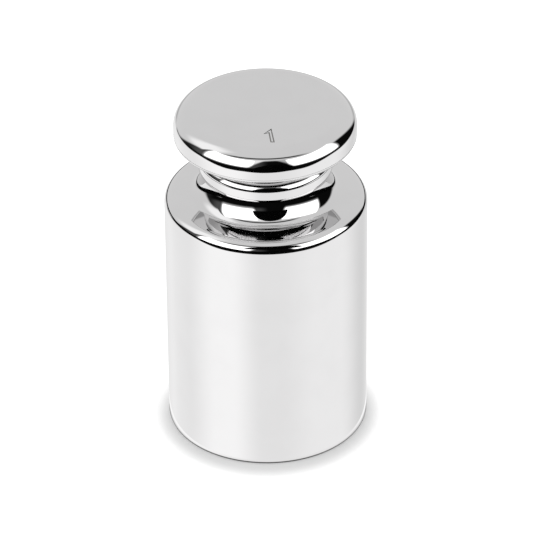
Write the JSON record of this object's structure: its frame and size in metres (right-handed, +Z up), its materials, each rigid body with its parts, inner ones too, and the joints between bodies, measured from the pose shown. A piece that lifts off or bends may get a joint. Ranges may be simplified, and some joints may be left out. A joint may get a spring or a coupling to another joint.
{
  "type": "calibration weight",
  "caption": "Polished steel calibration weight: round body with a rounded shoulder, a waisted neck and a flat-topped lifting knob.",
  "frame": {"origin": "centre of the flat base that the weight stands on", "axes": "+Z up along the turning axis, from the base to the knob's top; X and Y are equal by rotation, with the figure on the knob read from -Y"},
  "size_m": [0.048, 0.048, 0.0849],
  "materials": {
    "steel": "mirror polished, with a fine satin top on the knob"
  },
  "bodies": {
    "root": {"weight": "steel"}
  },
  "joints": []
}
